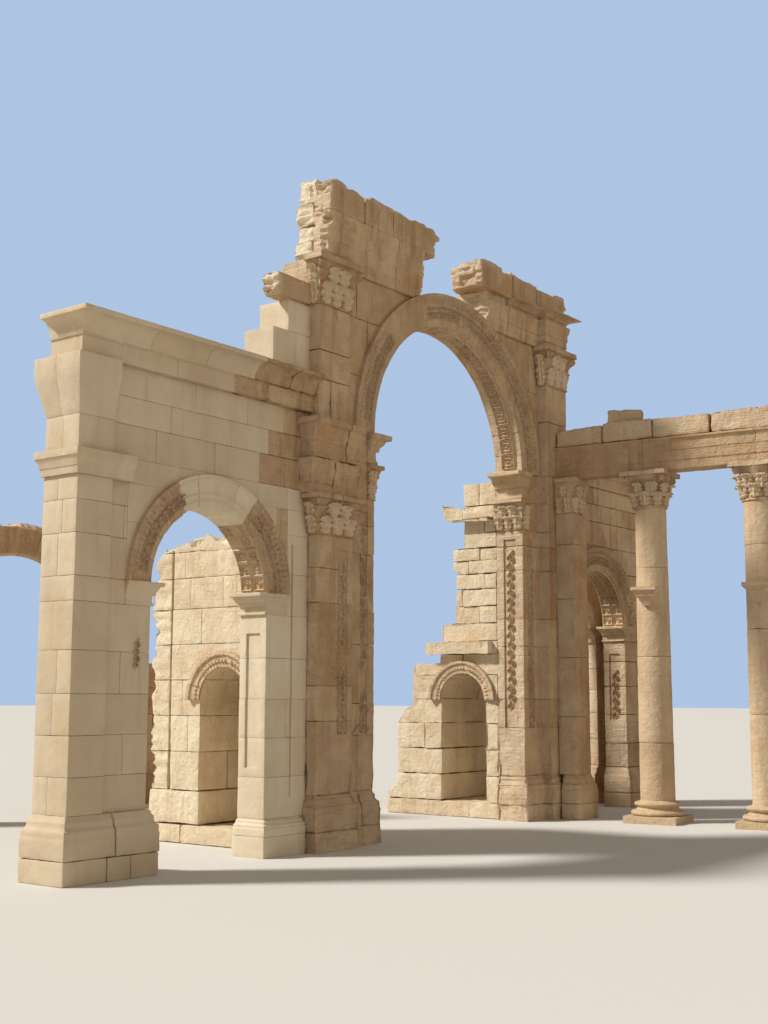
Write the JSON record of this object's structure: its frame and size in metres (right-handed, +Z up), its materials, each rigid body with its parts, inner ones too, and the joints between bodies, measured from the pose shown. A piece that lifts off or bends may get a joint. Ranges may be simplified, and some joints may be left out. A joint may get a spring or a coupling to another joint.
{
  "type": "ruined triumphal arch",
  "caption": "Ruined triumphal arch of golden stone on a wedge plan, with a tall middle arch, lower side arches, passage walls and a stub of colonnade.",
  "frame": {"origin": "foot of the central opening's left jamb, in the plane of the front facade, on the ground", "axes": "+X to the right along the front facade, +Y back through the openings, +Z up"},
  "size_m": [25.25, 20.7489, 16.07],
  "materials": {
    "weathered_limestone": "weathered golden stone",
    "restored_limestone": "dressed restored stone",
    "pale_limestone": "pale sunlit stone"
  },
  "bodies": {
    "root": {"end_pier_base": "restored_limestone", "end_pier_shaft": "restored_limestone", "end_pier_capital": "restored_limestone", "end_pier_frieze_block": "restored_limestone", "left_arch_imposts": "restored_limestone", "left_arch_springers": "weathered_limestone", "left_arch_crown": "pale_limestone", "left_bay_wall": "restored_limestone", "left_bay_cornice": "restored_limestone", "left_jamb_pier": "pale_limestone", "left_stepped_stones": "pale_limestone", "left_pier": "weathered_limestone", "left_pier_pilaster": "weathered_limestone", "left_order_capital": "weathered_limestone", "left_order_blocks": "weathered_limestone", "centre_imposts": "weathered_limestone", "centre_arch_ring": "weathered_limestone", "left_spandrel": "weathered_limestone", "right_spandrel": "weathered_limestone", "upper_pilasters": "weathered_limestone", "upper_capitals": "weathered_limestone", "left_entablature": "weathered_limestone", "left_attic": "weathered_limestone", "left_backing_stones": "weathered_limestone", "right_pier": "weathered_limestone", "right_entablature": "weathered_limestone", "right_attic": "weathered_limestone", "right_arch_ring": "weathered_limestone", "right_arch_imposts": "weathered_limestone", "right_bay_wall": "weathered_limestone", "right_end_pier": "weathered_limestone", "left_passage_wall": "weathered_limestone", "right_passage_wall": "weathered_limestone", "low_arch_rings": "weathered_limestone", "rear_right_piers": "weathered_limestone", "rear_right_wall": "weathered_limestone", "rear_arch_rings": "weathered_limestone", "rear_left_piers": "weathered_limestone", "rear_left_wall": "weathered_limestone", "colonnade_pilaster": "weathered_limestone", "colonnade_architrave": "weathered_limestone", "colonnade_frieze": "weathered_limestone", "column_shafts": "pale_limestone", "column_bases": "pale_limestone", "column_capitals": "pale_limestone"}
  },
  "joints": []
}
